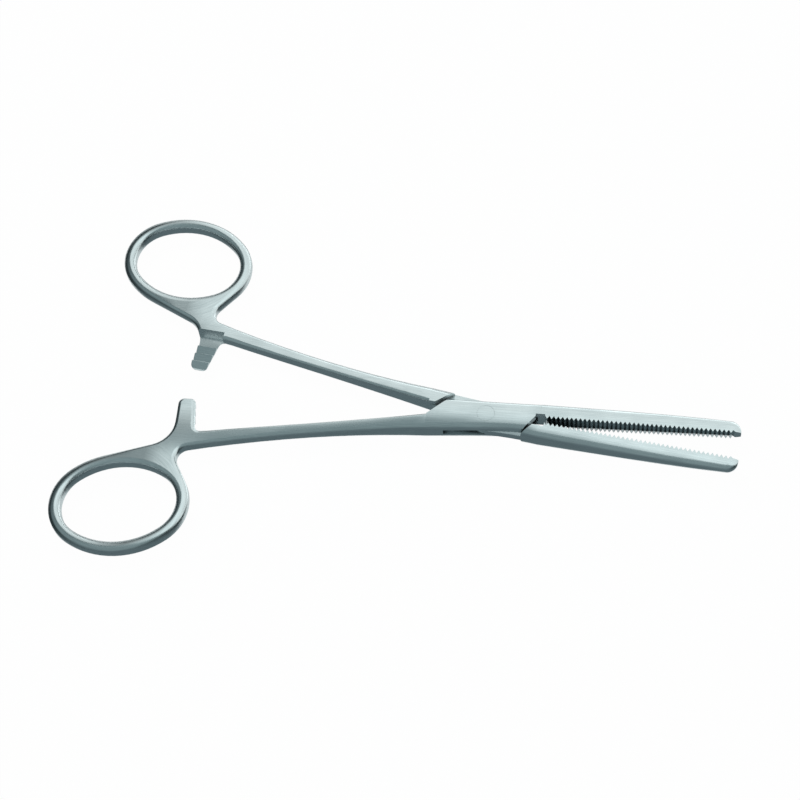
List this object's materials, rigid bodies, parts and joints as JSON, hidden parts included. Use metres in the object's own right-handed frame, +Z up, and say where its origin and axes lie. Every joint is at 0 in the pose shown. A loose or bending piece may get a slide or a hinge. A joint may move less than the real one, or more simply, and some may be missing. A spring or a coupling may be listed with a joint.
{
  "type": "haemostatic forceps",
  "caption": "Straight ring-handled locking forceps: two crossed arms in a box lock, serrated jaws and a ratchet between the handles.",
  "frame": {"origin": "on the axis of the rivet, on the underside of the box lock, which is the face that the forceps lie on", "axes": "+X towards the jaw tips along the line midway between the two arms, +Z up out of the flat side, +Y towards the jaw of the female arm and the finger ring of the male arm"},
  "size_m": [0.1583, 0.0952, 0.0052],
  "materials": {
    "satin_steel": "satin",
    "rivet_steel": "satin, ground flush"
  },
  "bodies": {
    "female": {"female_arm": "satin_steel", "pivot_rivet": "rivet_steel"},
    "male": {"male_arm": "satin_steel"}
  },
  "joints": [
    {"name": "box_lock_hinge", "type": "hinge", "parent": "female", "child": "male", "pos_m": [0, 0, 0.0026], "axis": [0, 0, -1], "range_deg": [-6.8, 83.2]}
  ]
}
